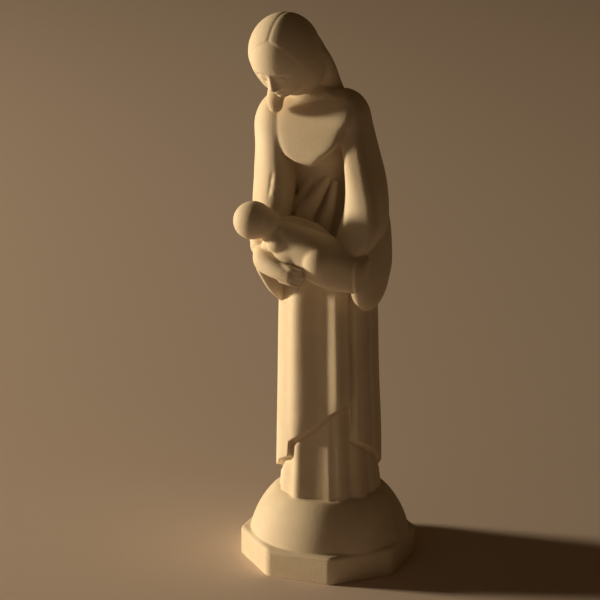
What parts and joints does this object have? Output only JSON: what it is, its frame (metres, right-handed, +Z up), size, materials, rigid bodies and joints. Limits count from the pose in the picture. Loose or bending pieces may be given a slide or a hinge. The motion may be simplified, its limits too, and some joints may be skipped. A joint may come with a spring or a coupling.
{
  "type": "madonna and child statue",
  "caption": "Standing robed woman with a bowed, veiled head who holds a swaddled child across her arms, in one piece with a domed, eight-sided plinth.",
  "frame": {"origin": "middle of the plinth's underside", "axes": "+Z up; the figure faces -Y, and its left arm is at +X"},
  "size_m": [0.0842, 0.0981, 0.2899],
  "materials": {
    "ceramic": "matte, unglazed, warm ivory, with a fine grain"
  },
  "bodies": {
    "root": {"madonna_and_child": "ceramic"}
  },
  "joints": []
}
